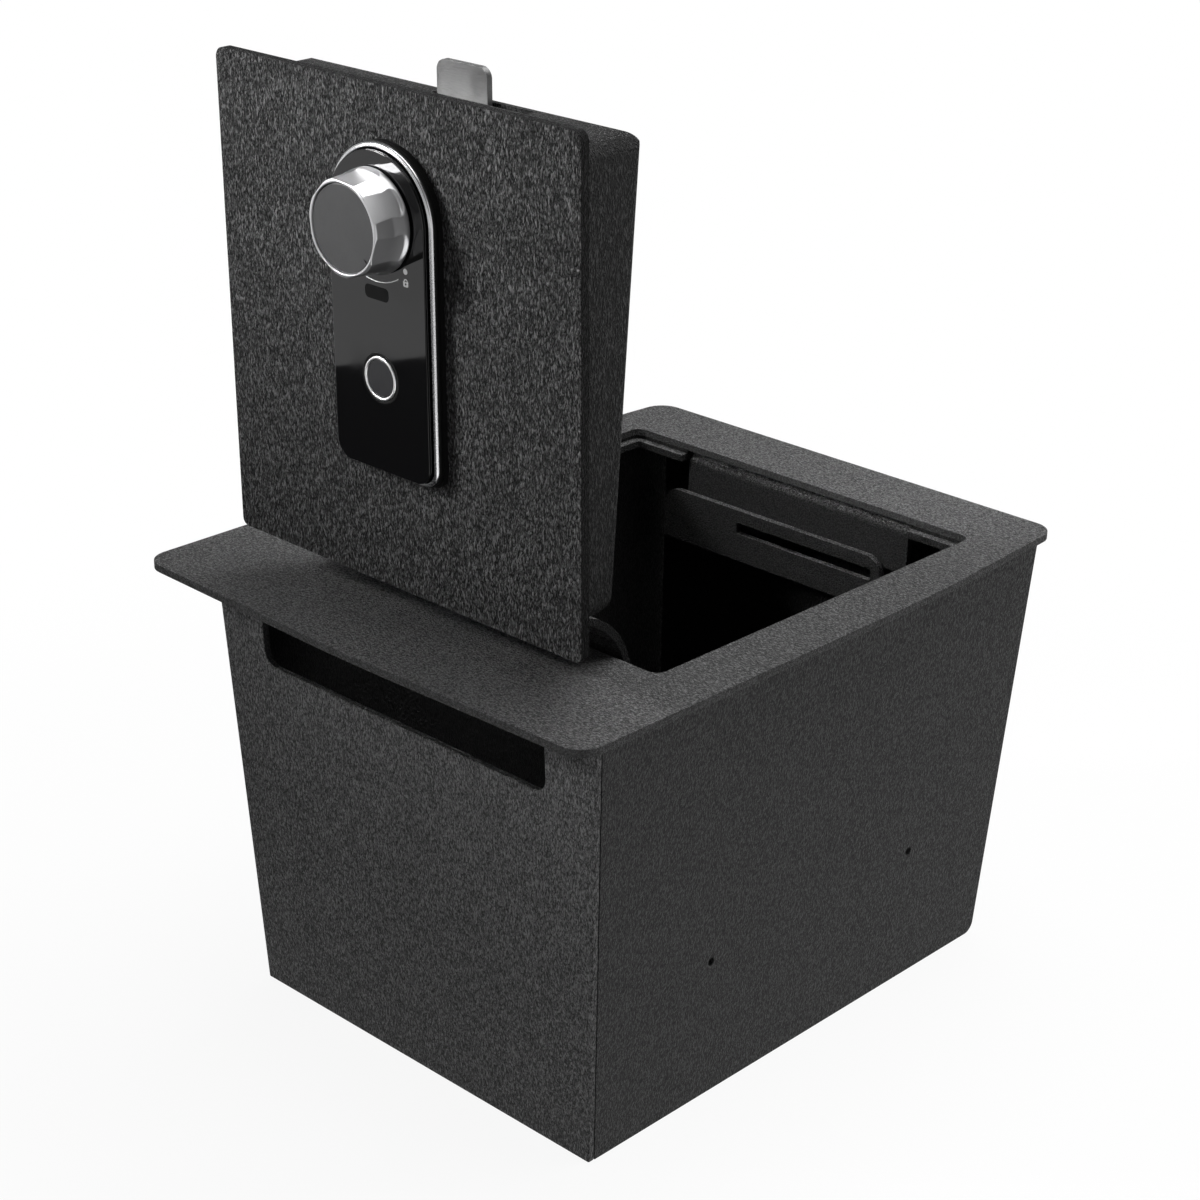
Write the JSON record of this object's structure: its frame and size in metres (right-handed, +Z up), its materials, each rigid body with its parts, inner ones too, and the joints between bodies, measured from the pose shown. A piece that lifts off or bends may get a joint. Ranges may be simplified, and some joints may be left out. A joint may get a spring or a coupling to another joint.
{
  "type": "console safe",
  "caption": "Tapered steel drop-in safe with an overhanging top flange and a hinged lid carrying a fingerprint and knob lock, shown with the lid open.",
  "frame": {"origin": "middle of the box's flat underside, at the height that it stands on", "axes": "+Z up; +Y from the hinge side towards the latch side; +X to the right seen from the hinge side, across the lid"},
  "size_m": [0.2395, 0.2887, 0.3998],
  "materials": {
    "coated_steel": "black wrinkle powder coat on sheet steel",
    "zinc_steel": "zinc-plated steel",
    "cam_steel": "bare steel cam with a dull matte face",
    "bezel_chrome": "bright chrome trim",
    "satin_metal": "satin silver knob",
    "black_face": "glossy black face",
    "black_plastic": "black moulded plastic",
    "cap_disc": "satin dark grey disc",
    "grey_pad": "dark grey fingerprint pad",
    "port_insert": "dark glossy port window",
    "board": "green circuit board",
    "cell_jacket": "printed cell jacket, left plain"
  },
  "bodies": {
    "box": {"floor_latch_plate": "coated_steel", "wall_hinge_side": "coated_steel", "wall_left": "coated_steel", "wall_right": "coated_steel", "top_flange": "coated_steel", "seat_rail_left": "coated_steel", "seat_rail_right": "coated_steel", "keeper_hanger": "coated_steel", "keeper_slot_plate": "coated_steel", "hinge_bracket_left": "coated_steel", "hinge_bracket_right": "coated_steel", "hinge_rod": "zinc_steel", "rod_clip_left": "zinc_steel", "rod_clip_right": "zinc_steel"},
    "lid": {"hinge_leaf": "coated_steel", "lid_plate": "coated_steel", "lid_tray": "coated_steel", "lock_housing": "black_plastic", "lock_bezel": "bezel_chrome", "lock_glass": "black_face", "sensor_ring": "bezel_chrome", "sensor_pad": "grey_pad", "port_cover": "port_insert", "lock_chassis": "zinc_steel", "circuit_board": "board", "solenoid": "zinc_steel", "battery_holder": "black_plastic", "battery_cover": "coated_steel", "lock_screw_1": "zinc_steel", "lock_screw_2": "zinc_steel", "battery_cover_screw_1": "zinc_steel", "battery_cover_screw_2": "zinc_steel", "battery_1": "cell_jacket", "battery_2": "cell_jacket", "battery_3": "cell_jacket", "battery_4": "cell_jacket", "knob_collar": "black_plastic"},
    "knob": {"knob_grip": "satin_metal", "knob_cap": "cap_disc", "spindle": "zinc_steel", "cam_tongue": "cam_steel", "cam_nut": "zinc_steel"},
    "pin": {"blocking_pin": "zinc_steel"}
  },
  "joints": [
    {"name": "lid_hinge", "type": "hinge", "parent": "box", "child": "lid", "pos_m": [0, -0.1148, 0.18035], "axis": [1, 0, 0], "range_deg": [-91.18, 0]},
    {"name": "knob_turn", "type": "hinge", "parent": "lid", "child": "knob", "pos_m": [0, -0.12993, 0.34934], "axis": [0, 0.9998, 0.0206], "range_deg": [0, 90]},
    {"name": "pin_slide", "type": "slide", "parent": "lid", "child": "pin", "axis": [1, 0, 0], "range_m": [0, 0.0025]}
  ]
}
